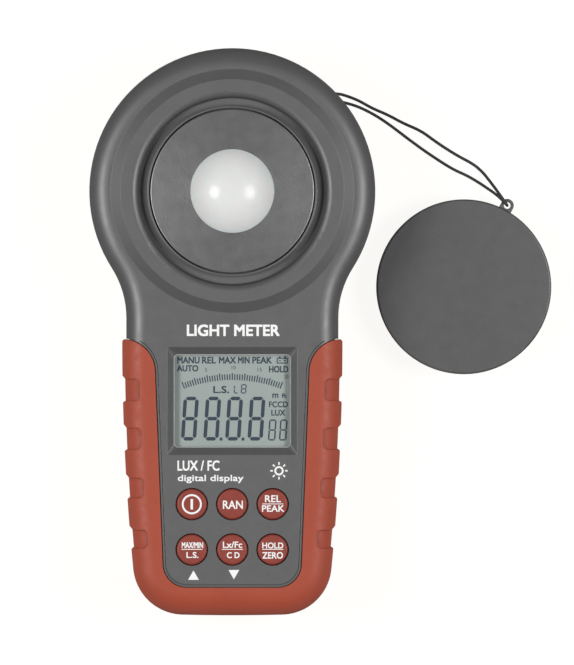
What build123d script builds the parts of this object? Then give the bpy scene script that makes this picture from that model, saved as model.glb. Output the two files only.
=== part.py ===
from build123d import *
import os
from math import asin, cos, degrees, pi, radians, sin, sqrt, tan

# Hand-held light meter with its lens cap beside it on a thin cord.
# The meter lies on its back: +X is its right, +Y points to the sensor head, +Z comes out of
# the face, and z = 0 is the surface that it lies on. Millimetres.

# Plan of the case
HEAD_Y = 42.1
HEAD_RADIUS = 42.9
NECK_RADIUS = 28.0
WAIST_HALF = 31.8
TAPER_Y = -3.0  # the sides of the handle start to close in here
SIDE_RADIUS = 704.0
SIDE_SWEEP = 7.0  # degrees of the side arc, which runs past the foot
FOOT_Y = -83.9
FOOT_RADIUS = 620.0
FOOT_CORNER = 13.9

# Plan of the grey panel between the two arms of the grip
PANEL_TOP_Y = -2.1
PANEL_TOP_HALF = 23.3
PANEL_FOOT_Y = -76.5
PANEL_FOOT_HALF = 20.35
PANEL_TOP_CORNER = 10.0
PANEL_FOOT_CORNER = 7.0

# Heights and wall thicknesses
FACE_Z = 35.0
SEAM_Z = 17.0
SEAM_GAP = 0.2
FRONT_ROUND = 5.6
BACK_ROUND = 8.0
CORE_INSET = 1.0  # the case steps in by this much under the grip
CAVITY_INSET = 3.2
CAVITY_LOW = 2.4
CAVITY_HIGH = 32.6

# Grip
GRIP_PROUD = 1.25
GRIP_LIP = 0.4  # height of the grip above the face
GRIP_GAP = 0.2
GROOVE_INSET = 0.55  # decorative groove in the face, along the grip's edge
GROOVE_WIDTH = 0.22
GROOVE_DEPTH = 0.25
GRIP_CORNER = 0.9  # round of the grip's two top ends, seen from the front
NOTCH_DEPTH = 0.8
NOTCH_REACH = 5.2
NOTCH_RAMP = 0.9  # the upper end of a notch slopes out over this length
NOTCH_STEP = 0.5  # and its lower end over this one
NOTCH_SPANS = ((-20.8, -14.2), (-35.4, -28.9), (-49.9, -43.9), (-65.0, -59.5))

# Dish and sensor, as radii about the head's centre
DISH_TOP = 36.5
DISH_RING = 33.5
DISH_RING_Z = 33.0
DISH_SLOPE = (DISH_TOP - DISH_RING) / (FACE_Z - DISH_RING_Z)
BOWL_LOW = 2.2  # wall under the trough
BOWL_OUTER = 31.0
BOWL_STEP = 38.5
TROUGH_OUTER = 28.2
TROUGH_EDGE = 2.2  # the dish's floor rolls over into the trough
TROUGH_Z = 29.5
SENSOR_OPENING = 23.0
RIM_OUTER = 25.6
RIM_INNER = 24.95
RIM_FOOT = 22.2
RIM_TOP = 32.4
PLATE_RADIUS = 24.6
PLATE_LOW = 30.2
PLATE_TOP = 31.9
PLATE_RISE = 0.8  # the plate slopes up to the dome by this much
DOME_RADIUS = 12.55
DOME_FOOT = PLATE_TOP + PLATE_RISE
DOME_HEIGHT = 6.0
DOME_WALL = 1.5

# Display
DISPLAY_Y = -20.8
BEZEL_SIZE = (38.9, 32.3)
WINDOW_SIZE = (35.3, 28.1)
BEZEL_DEPTH = 1.6
BEZEL_CORNER = 0.6
WINDOW_CORNER = 1.4
GLASS_SIZE = (35.6, 28.8)
GLASS_GAP = 0.3  # air between the display glass and the window
GLASS_THICK = 2.6

# Keys: column and row of each
KEY_COLUMNS = (-12.1, 0.0, 12.1)
KEY_ROWS = (-51.7, -65.3)
KEY_RADIUS = 4.55
KEY_GAP = 0.3
KEY_TOP = 35.9
KEY_FLANGE = 5.7
KEY_TRAVEL = 0.8
KEY_CLEAR = 0.15  # room left under a key pushed all the way down
SNAP_HEIGHT = 0.35
KEYS = {
    "key_power": (0, 0),
    "key_range": (1, 0),
    "key_relative": (2, 0),
    "key_max_min": (0, 1),
    "key_units": (1, 1),
    "key_hold": (2, 1),
}

# Boards
BOARD_Z = 24.0
BOARD_THICK = 1.6
BOARD_TOP = BOARD_Z + BOARD_THICK
BOARD_HALF = 24.0
BOARD_LOW_Y = -71.8
BOARD_HIGH_Y = 9.0
BOARD_SCREWS = ((-21.2, -41.6), (21.2, -41.6), (-21.2, 2.0), (21.2, 2.0))
BOARD_BOSS = 2.3
BOARD_SCREW_RADIUS = 0.9

# Screws that hold the case together, from the back
CASE_SCREWS = ((-14, -75.4), (14, -75.4), (-22, 14), (22, 14), (-30.5, 60), (30.5, 60))
FRONT_BOSS = 3.2
REAR_BOSS = 4.0
SCREW_HEAD_LOW = 4.0
SCREW_HEAD_TOP = 5.9
SCREW_HEAD_RADIUS = 2.7
SCREW_RADIUS = 1.4
SCREW_REACH = 20.0

# Joint between the two cases: a lip on the rear one in a rebate of the front one
LIP_INSET = CAVITY_INSET - 1.0
LIP_HEIGHT = 1.2
LIP_GAP = 0.1

# Battery space, seen from the back
WELL_HALF = 14.0
WELL_LOW_Y = -65.2
WELL_HIGH_Y = -10.2
WELL_WALL = 1.8
WELL_TOP = 20.8
DOOR_HALF = 16.5
DOOR_LOW_Y = -67.0
DOOR_HIGH_Y = -6.5
DOOR_LOW = 0.25
DOOR_THICK = 1.7
DOOR_GAP = 0.25
DOOR_AXIS_Y = DOOR_LOW_Y + DOOR_THICK / 2
DOOR_AXIS_Z = DOOR_LOW + DOOR_THICK / 2
DOOR_MIDDLE_Y = (DOOR_LOW_Y + DOOR_HIGH_Y) / 2
DOOR_TAB = 1.5
PAD_THICK = 1.0
BATTERY_SIZE = (26.5, 46.5, 17.5)
BATTERY_STUD = 2.0
LEAD_Z = 15.0
LEAD_RADIUS = 0.6

# Lens cap
CAP_X = 69.8
CAP_Y = 13.5
CAP_RADIUS = 26.4
CAP_BORE = 25.7
CAP_HEIGHT = 10.6
CAP_PLATE = 1.2
CAP_EDGE = 0.6
EAR_X = 82.9
EAR_Y = 38.05
EAR_RADIUS = 2.0
EAR_HOLE = 1.0
EAR_TOP = CAP_HEIGHT - CAP_EDGE
EAR_THICK = 1.4

# Strap anchor under the edge of the head
STRAP_X = 24.6
STRAP_Y = 70.4
STRAP_TURN = 4.0  # direction of the pull, in degrees from +X
STRAP_POCKET = 4.2
STRAP_DEPTH = 5.5
POCKET_WALL = 1.8
STRAP_BAR_Z = 2.6
STRAP_BAR_RADIUS = 0.8
KNOT_RADIUS = 1.5
KNOT_FACE = 1.1

# Cord, from the knot along one strand, through the ear and back along the other
CORD_RADIUS = 0.45
CORD_ROUTE = (
    (25.71, 71.08, 2.20), (26.90, 71.16, 2.20), (28.4, 71.55, 1.75), (30.2, 72.0, 1.15),
    (32.5, 71.95, 0.65), (35.2, 71.1, 0.50), (38.2, 69.9, 0.50), (42.2, 67.6, 0.50),
    (47.0, 65.6, 0.50), (51.7, 63.0, 0.50), (57.0, 60.8, 0.50), (61.8, 57.2, 0.50),
    (67.7, 53.4, 0.50), (72.9, 50.7, 0.55), (75.7, 48.2, 1.40), (77.9, 45.3, 4.30),
    (79.5, 43.0, 7.90), (81.0, 40.8, 10.7), (82.9, 38.05, 10.8), (82.9, 38.05, 7.9),
    (81.2, 40.0, 7.60), (79.3, 41.7, 6.00), (77.2, 43.2, 3.20), (74.8, 44.9, 1.10),
    (71.0, 47.2, 0.55), (66.9, 49.0, 0.50), (63.0, 51.4, 0.50), (58.2, 54.6, 0.50),
    (53.0, 58.4, 0.50), (48.2, 62.1, 0.50), (43.4, 65.4, 0.50), (38.1, 68.1, 0.50),
    (34.0, 69.3, 0.55), (31.3, 69.8, 0.80), (29.1, 69.95, 1.10), (27.3, 69.95, 1.75),
    (26.2, 69.91, 2.20), (25.79, 69.88, 2.20),
)


def case_plan(grow):
    """Outline of the case: round head, waisted neck and tapering handle."""
    neck_x = WAIST_HALF + NECK_RADIUS
    waist_y = HEAD_Y - sqrt((HEAD_RADIUS + NECK_RADIUS) ** 2 - neck_x**2)
    lean = degrees(asin((HEAD_Y - waist_y) / (HEAD_RADIUS + NECK_RADIUS)))
    waist = (WAIST_HALF + grow, waist_y)
    taper = (WAIST_HALF + grow, TAPER_Y)
    sweep_in = radians(SIDE_SWEEP)
    side_end = (
        taper[0] - (SIDE_RADIUS + grow) * (1 - cos(sweep_in)),
        TAPER_Y - (SIDE_RADIUS + grow) * sin(sweep_in),
    )
    with BuildSketch() as plan:
        with BuildLine():
            head = CenterArc((0, HEAD_Y), HEAD_RADIUS + grow, 90, -90 - lean)
            TangentArc(head @ 1, waist, tangent=head % 1)
            Line(waist, taper)
            TangentArc(taper, side_end, tangent=(0, -1))
            Line(side_end, (0, side_end[1]))
            mirror(about=Plane.YZ)
        make_face()
        with Locations((0, FOOT_Y + FOOT_RADIUS)):
            Circle(FOOT_RADIUS + grow, mode=Mode.INTERSECT)
        corners = [v for v in plan.vertices() if v.Y < FOOT_Y + 8]
        fillet(corners, FOOT_CORNER + grow)
    return plan.sketch


def panel_plan(grow):
    """Everything that the grip leaves bare: the head, the neck and the panel below them."""
    beyond = HEAD_RADIUS + 5
    top_inner = (PANEL_TOP_HALF + grow, PANEL_TOP_Y - grow)
    foot_inner = (PANEL_FOOT_HALF + grow, PANEL_FOOT_Y - grow)
    with BuildSketch() as plan:
        with BuildLine():
            Polyline(
                (0, HEAD_Y + beyond), (beyond, HEAD_Y + beyond), (beyond, top_inner[1]),
                top_inner, foot_inner, (0, foot_inner[1]),
            )
            mirror(about=Plane.YZ)
        make_face()
        inner = plan.vertices().filter_by(lambda v: 1 < abs(v.X) < WAIST_HALF)
        fillet(inner.group_by(Axis.Y)[-1], PANEL_TOP_CORNER - grow)
        inner = plan.vertices().filter_by(lambda v: 1 < abs(v.X) < WAIST_HALF)
        fillet(inner.group_by(Axis.Y)[0], PANEL_FOOT_CORNER + grow)
    return plan.sketch


def prism(plan, low, high):
    """A plan drawn up into a straight-sided solid."""
    with BuildPart() as solid:
        with BuildSketch(Plane.XY.offset(low)):
            add(plan)
        extrude(amount=high - low)
    return solid.part


def rounded_block(inset, low, high):
    """The case's outline as a solid with parallel rounded edges, inset from the outside."""
    with BuildPart() as block:
        with BuildSketch(Plane.XY.offset(low)):
            add(case_plan(-inset))
        extrude(amount=high - low)
        fillet(block.faces().sort_by(Axis.Z)[-1].edges(), FRONT_ROUND - inset)
        fillet(block.faces().sort_by(Axis.Z)[0].edges(), BACK_ROUND - inset)
    return block.part


def finish(piece, name):
    """Label a piece and write it."""
    piece.part.label = name
    export_step(piece.part, f"parts/{name}.step")


def on_head():
    """Section plane through the head's centre, for revolved pieces."""
    return Plane(origin=(0, HEAD_Y, 0), x_dir=(1, 0, 0), z_dir=(0, -1, 0))


def slab(low, high):
    """Block as wide as the meter, to keep only the part of a piece between two levels."""
    with BuildPart() as block:
        with Locations((0, 0, (low + high) / 2)):
            Box(4 * HEAD_RADIUS, 6 * HEAD_RADIUS, high - low)
    return block.part


HEAD_AXIS = Axis((0, HEAD_Y, 0), (0, 0, 1))

os.makedirs("parts", exist_ok=True)

# ---------------------------------------------------------------- shared solids of the casing
outer_block = rounded_block(0, 0, FACE_Z)
core_block = rounded_block(CORE_INSET, CORE_INSET, FACE_Z - CORE_INSET)
cavity_block = rounded_block(CAVITY_INSET, CAVITY_LOW, CAVITY_HIGH)
grip_block = rounded_block(-GRIP_PROUD, 0, FACE_Z + GRIP_LIP)
notched_block = rounded_block(NOTCH_DEPTH - GRIP_PROUD, NOTCH_DEPTH, FACE_Z + GRIP_LIP - NOTCH_DEPTH)
above_seam = slab(SEAM_Z + SEAM_GAP / 2, FACE_Z + 5)
below_seam = slab(-5, SEAM_Z - SEAM_GAP / 2)
panel_prism = prism(panel_plan(0), -1, FACE_Z + 2)
grip_opening = prism(panel_plan(GRIP_GAP), -1, FACE_Z + 2)

with BuildPart() as case_body:
    add(outer_block)
    add(panel_prism, mode=Mode.INTERSECT)
    add(core_block)

# the notches: shallow windows in the grip's sides, running over both shoulders
with BuildPart() as notches:
    for low, high in NOTCH_SPANS:
        middle = (low + high) / 2
        half = WAIST_HALF + GRIP_PROUD - (middle - TAPER_Y) ** 2 / (2 * SIDE_RADIUS)
        floor, beyond = half - NOTCH_DEPTH, half + NOTCH_DEPTH
        with BuildSketch(Plane.XY.offset(-1)):
            with Locations((half, middle)):
                RectangleRounded(2 * NOTCH_REACH, high - low, 1.4)
            Polygon((floor, high), (beyond, high), (beyond, high + 2 * NOTCH_RAMP), align=None)
            Polygon((floor, low), (beyond, low), (beyond, low - 2 * NOTCH_STEP), align=None)
            mirror(about=Plane.YZ)
        extrude(amount=FACE_Z + 3)
    add(notched_block, mode=Mode.SUBTRACT)

# what rounds off the grip's top ends: a square with a quarter circle taken out of it
with BuildPart() as end_rounds:
    corner_x = WAIST_HALF + GRIP_PROUD - GRIP_CORNER
    corner_y = PANEL_TOP_Y - GRIP_GAP - GRIP_CORNER
    with BuildSketch(Plane.XY.offset(-1)):
        with Locations((corner_x, corner_y)):
            Rectangle(2 * GRIP_CORNER, 2 * GRIP_CORNER, align=Align.MIN)
            Circle(GRIP_CORNER, mode=Mode.SUBTRACT)
        mirror(about=Plane.YZ)
    extrude(amount=FACE_Z + 3)

with BuildPart() as grip_body:
    add(grip_block)
    add(grip_opening, mode=Mode.SUBTRACT)
    add(core_block, mode=Mode.SUBTRACT)
    add(notches.part, mode=Mode.SUBTRACT)
    add(end_rounds.part, mode=Mode.SUBTRACT)

# ---------------------------------------------------------------- front case
with BuildPart() as front_case:
    add(case_body.part)
    add(above_seam, mode=Mode.INTERSECT)
    add(cavity_block, mode=Mode.SUBTRACT)
    # bowl under the dish, and the bosses for the case screws and the board screws
    with BuildSketch(on_head()):
        Polygon(
            (0, TROUGH_Z - BOWL_LOW), (BOWL_OUTER, TROUGH_Z - BOWL_LOW),
            (BOWL_OUTER, CAVITY_HIGH - 2), (BOWL_STEP, CAVITY_HIGH - 2),
            (BOWL_STEP, CAVITY_HIGH + 1), (0, CAVITY_HIGH + 1), align=None,
        )
    revolve(axis=HEAD_AXIS)
    with BuildSketch(Plane.XY.offset(SEAM_Z)):
        with Locations(*CASE_SCREWS):
            Circle(FRONT_BOSS)
    extrude(amount=CAVITY_HIGH + 1 - SEAM_Z)
    with BuildSketch(Plane.XY.offset(BOARD_TOP)):
        with Locations(*BOARD_SCREWS):
            Circle(BOARD_BOSS)
    extrude(amount=CAVITY_HIGH + 1 - BOARD_TOP)
    # the dish, its trough and the sensor opening
    with BuildSketch(on_head()):
        Polygon(
            (0, FACE_Z + 3), (DISH_TOP + 3 * DISH_SLOPE, FACE_Z + 3), (DISH_RING, DISH_RING_Z),
            (TROUGH_OUTER, DISH_RING_Z), (TROUGH_OUTER - 0.3, TROUGH_Z),
            (SENSOR_OPENING, TROUGH_Z), (SENSOR_OPENING, TROUGH_Z - 4), (0, TROUGH_Z - 4),
            align=None,
        )
    revolve(axis=HEAD_AXIS, mode=Mode.SUBTRACT)
    dish_edges = front_case.edges().filter_by(GeomType.CIRCLE)
    trough_edges = dish_edges.filter_by(
        lambda e: abs(e.radius - TROUGH_OUTER) < 0.05 and abs(e.arc_center.Z - DISH_RING_Z) < 0.05
    )
    fillet(trough_edges, TROUGH_EDGE)
    # sloped bezel and the opening for the window
    with BuildSketch(Plane.XY.offset(FACE_Z)):
        with Locations((0, DISPLAY_Y)):
            RectangleRounded(*BEZEL_SIZE, BEZEL_CORNER)
    with BuildSketch(Plane.XY.offset(FACE_Z - BEZEL_DEPTH)):
        with Locations((0, DISPLAY_Y)):
            RectangleRounded(*WINDOW_SIZE, WINDOW_CORNER)
    loft(mode=Mode.SUBTRACT)
    with BuildSketch(Plane.XY.offset(FACE_Z - BEZEL_DEPTH)):
        with Locations((0, DISPLAY_Y)):
            RectangleRounded(*WINDOW_SIZE, WINDOW_CORNER)
    extrude(amount=-3, mode=Mode.SUBTRACT)
    # groove in the face along the grip's edge
    with BuildSketch(Plane.XY.offset(FACE_Z + 1)):
        add(panel_plan(-GROOVE_INSET))
        add(panel_plan(-GROOVE_INSET - GROOVE_WIDTH), mode=Mode.SUBTRACT)
        with Locations((0, PANEL_TOP_Y)):
            Rectangle(
                4 * HEAD_RADIUS, 4 * HEAD_RADIUS,
                align=(Align.CENTER, Align.MAX), mode=Mode.INTERSECT,
            )
    extrude(amount=-1 - GROOVE_DEPTH, mode=Mode.SUBTRACT)
    # key holes
    with BuildSketch(Plane.XY.offset(FACE_Z + 1)):
        with Locations(*[(x, y) for x in KEY_COLUMNS for y in KEY_ROWS]):
            Circle(KEY_RADIUS + KEY_GAP)
    extrude(amount=-6, mode=Mode.SUBTRACT)
    # thread-forming bores
    with BuildSketch(Plane.XY.offset(SEAM_Z)):
        with Locations(*CASE_SCREWS):
            Circle(SCREW_RADIUS)
    extrude(amount=9.5, mode=Mode.SUBTRACT)
    with BuildSketch(Plane.XY.offset(BOARD_TOP)):
        with Locations(*BOARD_SCREWS):
            Circle(BOARD_SCREW_RADIUS)
    extrude(amount=4.5, mode=Mode.SUBTRACT)
    # rebate for the rear case's lip
    with BuildSketch(Plane.XY.offset(SEAM_Z)):
        add(case_plan(-LIP_INSET + LIP_GAP))
        add(case_plan(-CAVITY_INSET - LIP_GAP), mode=Mode.SUBTRACT)
    extrude(amount=LIP_HEIGHT + 2 * LIP_GAP, mode=Mode.SUBTRACT)
finish(front_case, "front_case")

# ---------------------------------------------------------------- rear case
with BuildPart() as pocket_wall:
    with BuildSketch(Plane.XY):
        with Locations((STRAP_X, STRAP_Y)):
            Circle(STRAP_POCKET + POCKET_WALL)
    extrude(amount=STRAP_DEPTH + POCKET_WALL)
    add(outer_block, mode=Mode.INTERSECT)

strap_frame = Plane(
    origin=(STRAP_X, STRAP_Y, STRAP_BAR_Z),
    x_dir=(0, 0, 1),
    z_dir=(-sin(radians(STRAP_TURN)), cos(radians(STRAP_TURN)), 0),
)
well_middle = (WELL_LOW_Y + WELL_HIGH_Y) / 2
well_length = WELL_HIGH_Y - WELL_LOW_Y
with BuildPart() as rear_case:
    add(case_body.part)
    add(below_seam, mode=Mode.INTERSECT)
    add(cavity_block, mode=Mode.SUBTRACT)
    with BuildSketch(Plane.XY.offset(SEAM_Z - 3)):
        add(case_plan(-LIP_INSET))
        add(case_plan(-CAVITY_INSET), mode=Mode.SUBTRACT)
    extrude(amount=3 + LIP_HEIGHT)
    with BuildSketch(Plane.XY.offset(CAVITY_LOW)):
        with Locations(*CASE_SCREWS):
            Circle(REAR_BOSS)
    extrude(amount=SEAM_Z - CAVITY_LOW)
    # frame round the battery door, and the battery well behind it
    with BuildSketch(Plane.XY.offset(CAVITY_LOW - 1)):
        with Locations((0, DOOR_MIDDLE_Y)):
            RectangleRounded(2 * DOOR_HALF + 7.4, DOOR_HIGH_Y - DOOR_LOW_Y + 5, 3)
    extrude(amount=2.6)
    with BuildSketch(Plane.XY.offset(CAVITY_LOW - 1)):
        with Locations((0, well_middle)):
            RectangleRounded(2 * (WELL_HALF + WELL_WALL), well_length + 2 * WELL_WALL, 2)
    extrude(amount=WELL_TOP + 1.5 - CAVITY_LOW + 1)
    with BuildSketch(Plane.XY.offset(-1)):
        with Locations((0, well_middle)):
            RectangleRounded(2 * WELL_HALF, well_length, 1)
    extrude(amount=WELL_TOP + 1, mode=Mode.SUBTRACT)
    # slot that lets the battery leads out of the well
    with BuildSketch(Plane.XZ.offset(-WELL_HIGH_Y - WELL_WALL - 1)):
        with Locations((0, LEAD_Z)):
            SlotOverall(8, 2.4)
    extrude(amount=WELL_WALL + 2, mode=Mode.SUBTRACT)
    # seat of the battery door, with a socket each side for its tabs and a latch groove
    with BuildSketch(Plane.XY.offset(-1)):
        with Locations((0, DOOR_MIDDLE_Y)):
            RectangleRounded(
                2 * (DOOR_HALF + DOOR_GAP), DOOR_HIGH_Y - DOOR_LOW_Y + 2 * DOOR_GAP, 2
            )
    extrude(amount=DOOR_LOW + DOOR_THICK + 1.05, mode=Mode.SUBTRACT)
    with BuildSketch(Plane.YZ):
        with Locations((DOOR_AXIS_Y, DOOR_AXIS_Z)):
            Circle(0.92)
    extrude(amount=DOOR_HALF + DOOR_TAB + 0.3, both=True, mode=Mode.SUBTRACT)
    with Locations((0, DOOR_HIGH_Y + DOOR_GAP, DOOR_AXIS_Z)):
        Box(9, 0.6, 0.8, mode=Mode.SUBTRACT)
    # pocket for the strap bar, walled off from the inside of the case
    add(pocket_wall.part)
    with BuildSketch(Plane.XY.offset(-1)):
        with Locations((STRAP_X, STRAP_Y)):
            Circle(STRAP_POCKET)
    extrude(amount=STRAP_DEPTH + 1, mode=Mode.SUBTRACT)
    # bores and head seats of the case screws
    with BuildSketch(Plane.XY.offset(-1)):
        with Locations(*CASE_SCREWS):
            Circle(SCREW_RADIUS + 0.2)
    extrude(amount=SEAM_Z + 3, mode=Mode.SUBTRACT)
    with BuildSketch(Plane.XY.offset(-1)):
        with Locations(*CASE_SCREWS):
            Circle(SCREW_HEAD_RADIUS + 0.2)
    extrude(amount=SCREW_HEAD_TOP + 1, mode=Mode.SUBTRACT)
    # bore for the strap bar
    with BuildSketch(strap_frame):
        Circle(STRAP_BAR_RADIUS)
    extrude(amount=STRAP_POCKET + 1, both=True, mode=Mode.SUBTRACT)
finish(rear_case, "rear_case")

# ---------------------------------------------------------------- grips
for name, half in (("front_grip", above_seam), ("rear_grip", below_seam)):
    with BuildPart() as grip:
        add(grip_body.part)
        add(half, mode=Mode.INTERSECT)
    finish(grip, name)

# ---------------------------------------------------------------- sensor, from the front inwards
with BuildPart() as sensor_rim:
    with BuildSketch(on_head()):
        Polygon(
            (RIM_FOOT, TROUGH_Z), (RIM_OUTER, TROUGH_Z), (RIM_OUTER, RIM_TOP),
            (RIM_INNER, RIM_TOP), (RIM_INNER, PLATE_LOW), (RIM_FOOT, PLATE_LOW), align=None,
        )
    revolve(axis=HEAD_AXIS)
    fillet(sensor_rim.faces().sort_by(Axis.Z)[-1].edges(), 0.2)
finish(sensor_rim, "sensor_rim")

SENSOR_SCREWS = [
    (19 * cos(radians(angle)), HEAD_Y + 19 * sin(radians(angle))) for angle in (90, 210, 330)
]
with BuildPart() as sensor_plate:
    with BuildSketch(on_head()):
        Polygon(
            (0, PLATE_LOW), (PLATE_RADIUS, PLATE_LOW), (PLATE_RADIUS, PLATE_TOP),
            (DOME_RADIUS, DOME_FOOT), (0, DOME_FOOT), align=None,
        )
    revolve(axis=HEAD_AXIS)
    outer_edges = sensor_plate.edges().filter_by(GeomType.CIRCLE)
    fillet(outer_edges.filter_by(lambda e: abs(e.arc_center.Z - PLATE_TOP) < 0.01), 0.3)
    with BuildSketch(Plane.XY.offset(PLATE_LOW)):
        with Locations(*SENSOR_SCREWS):
            Circle(2.8)
    extrude(amount=-2.7)
    with Locations((0, HEAD_Y, PLATE_LOW)):
        Cylinder(DOME_RADIUS + 0.05, 8, mode=Mode.SUBTRACT)
    with BuildSketch(Plane.XY.offset(PLATE_LOW - 3)):
        with Locations(*SENSOR_SCREWS):
            Circle(1.0)
    extrude(amount=4, mode=Mode.SUBTRACT)
finish(sensor_plate, "sensor_plate")

dome_sphere = (DOME_RADIUS**2 + DOME_HEIGHT**2) / (2 * DOME_HEIGHT)
dome_top = DOME_FOOT + DOME_HEIGHT
dome_centre = dome_top - dome_sphere
dome_flange = 15.2
dome_low = PLATE_LOW - 1.4
dome_bore = DOME_RADIUS - DOME_WALL
inner_sphere = dome_sphere - DOME_WALL
spring_z = dome_centre + sqrt(inner_sphere**2 - dome_bore**2)
with BuildPart() as diffuser_dome:
    with BuildSketch(on_head()):
        with BuildLine():
            Polyline(
                (dome_bore, spring_z), (dome_bore, dome_low), (dome_flange, dome_low),
                (dome_flange, PLATE_LOW), (DOME_RADIUS, PLATE_LOW), (DOME_RADIUS, DOME_FOOT),
            )
            RadiusArc((DOME_RADIUS, DOME_FOOT), (0, dome_top), -dome_sphere)
            Line((0, dome_top), (0, dome_top - DOME_WALL))
            RadiusArc((0, dome_top - DOME_WALL), (dome_bore, spring_z), inner_sphere)
        make_face()
    revolve(axis=HEAD_AXIS)
finish(diffuser_dome, "diffuser_dome")

CARRIER_TOP = PLATE_LOW - 2.7
CUP_LOW = 21.6
with BuildPart() as sensor_carrier:
    with BuildSketch(Plane.XY.offset(CARRIER_TOP - 1.5)):
        with Locations((0, HEAD_Y)):
            Circle(22.5)
    extrude(amount=1.5)
    with BuildSketch(Plane.XY.offset(CUP_LOW)):
        with Locations((0, HEAD_Y)):
            Circle(15.0)
    extrude(amount=dome_low - CUP_LOW)
    with BuildSketch(on_head()):
        Polygon(
            (0, CUP_LOW - 1), (5.0, CUP_LOW - 1), (5.0, 24.0), (6.2, 24.0), (6.2, 26.0),
            (7.0, 26.0), (10.8, dome_low + 1), (0, dome_low + 1), align=None,
        )
    revolve(axis=HEAD_AXIS, mode=Mode.SUBTRACT)
    with BuildSketch(Plane.XY.offset(CARRIER_TOP - 3)):
        with Locations(*SENSOR_SCREWS):
            Circle(1.1)
    extrude(amount=5, mode=Mode.SUBTRACT)
finish(sensor_carrier, "sensor_carrier")

with BuildPart() as colour_filter:
    with Locations((0, HEAD_Y, 25.0)):
        Cylinder(6.2, 2.0)
finish(colour_filter, "colour_filter")

with BuildPart() as sensor_board:
    with Locations((0, HEAD_Y, CUP_LOW - BOARD_THICK / 2)):
        Cylinder(17.0, BOARD_THICK)
finish(sensor_board, "sensor_board")

with BuildPart() as photodiode:
    with Locations((0, HEAD_Y, CUP_LOW + 0.9)):
        Box(6.0, 5.4, 1.8)
    fillet(photodiode.edges().filter_by(Axis.Z), 0.4)
    with Locations((0, HEAD_Y, CUP_LOW + 1.8)):
        Box(3.6, 3.6, 0.4, mode=Mode.SUBTRACT)
finish(photodiode, "photodiode")

with BuildPart() as sensor_screws:
    with BuildSketch(Plane.XY.offset(CARRIER_TOP - 3.0)):
        with Locations(*SENSOR_SCREWS):
            Circle(2.0)
    extrude(amount=1.5)
    with BuildSketch(Plane.XY.offset(CARRIER_TOP - 1.5)):
        with Locations(*SENSOR_SCREWS):
            Circle(1.0)
    extrude(amount=4.6)
finish(sensor_screws, "sensor_screws")

with BuildPart() as sensor_cable:
    with BuildSketch(Plane.YZ.offset(-4)):
        with BuildLine():
            FilletPolyline(
                (26.9, CUP_LOW + 0.15), (21.0, CUP_LOW + 0.15), (14.5, BOARD_TOP + 0.15),
                (6.0, BOARD_TOP + 0.15), radius=1.6,
            )
        trace(line_width=0.3)
    extrude(amount=8)
finish(sensor_cable, "sensor_cable")

# ---------------------------------------------------------------- display
LENS_LOW = CAVITY_HIGH - 1.0
with BuildPart() as display_window:
    with BuildSketch(Plane.XY.offset(LENS_LOW)):
        with Locations((0, DISPLAY_Y)):
            RectangleRounded(WINDOW_SIZE[0] + 2.6, WINDOW_SIZE[1] + 2.6, 1.0)
    extrude(amount=CAVITY_HIGH - LENS_LOW)
    with BuildSketch(Plane.XY.offset(CAVITY_HIGH)):
        with Locations((0, DISPLAY_Y)):
            RectangleRounded(WINDOW_SIZE[0] - 0.2, WINDOW_SIZE[1] - 0.2, WINDOW_CORNER - 0.1)
    extrude(amount=FACE_Z - BEZEL_DEPTH - CAVITY_HIGH)
    chamfer(display_window.faces().sort_by(Axis.Z)[-1].edges(), 0.25)
finish(display_window, "display_window")

GLASS_TOP = LENS_LOW - GLASS_GAP
GLASS_LOW = GLASS_TOP - GLASS_THICK
with BuildPart() as display_glass:
    with Locations((0, DISPLAY_Y, (GLASS_LOW + GLASS_TOP) / 2)):
        Box(*GLASS_SIZE, GLASS_THICK)
    with Locations((0, DISPLAY_Y + GLASS_SIZE[1] / 2, GLASS_LOW + 0.5)):
        Box(GLASS_SIZE[0], 3.0, 1.0, mode=Mode.SUBTRACT)
finish(display_glass, "display_glass")

with BuildPart() as display_frame:
    with BuildSketch(Plane.XY.offset(BOARD_TOP)):
        with Locations((0, DISPLAY_Y)):
            RectangleRounded(40.4, 33.4, 1.5)
            Rectangle(GLASS_SIZE[0] + 0.2, GLASS_SIZE[1] + 0.2, mode=Mode.SUBTRACT)
    extrude(amount=LENS_LOW - BOARD_TOP)
finish(display_frame, "display_frame")

with BuildPart() as contact_strips:
    with BuildSketch(Plane.XY.offset(BOARD_TOP)):
        with Locations((0, DISPLAY_Y - 13.1), (0, DISPLAY_Y + 11.6)):
            Rectangle(34.0, 2.2)
    extrude(amount=GLASS_LOW - BOARD_TOP)
finish(contact_strips, "contact_strips")

# ---------------------------------------------------------------- keys
PLUNGER_LOW = BOARD_TOP + SNAP_HEIGHT + KEY_TRAVEL + KEY_CLEAR
FLANGE_HIGH = CAVITY_HIGH - 0.1
for name, (column, row) in KEYS.items():
    with BuildPart() as key:
        with Locations((KEY_COLUMNS[column], KEY_ROWS[row], 0)):
            with Locations((0, 0, (FLANGE_HIGH + KEY_TOP) / 2)):
                Cylinder(KEY_RADIUS, KEY_TOP - FLANGE_HIGH)
            with Locations((0, 0, FLANGE_HIGH - 0.5)):
                Cylinder(KEY_FLANGE, 1.0)
            with Locations((0, 0, (PLUNGER_LOW + FLANGE_HIGH) / 2)):
                Cylinder(2.2, FLANGE_HIGH - PLUNGER_LOW)
        fillet(key.faces().sort_by(Axis.Z)[-1].edges(), 0.7)
    finish(key, name)

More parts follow.
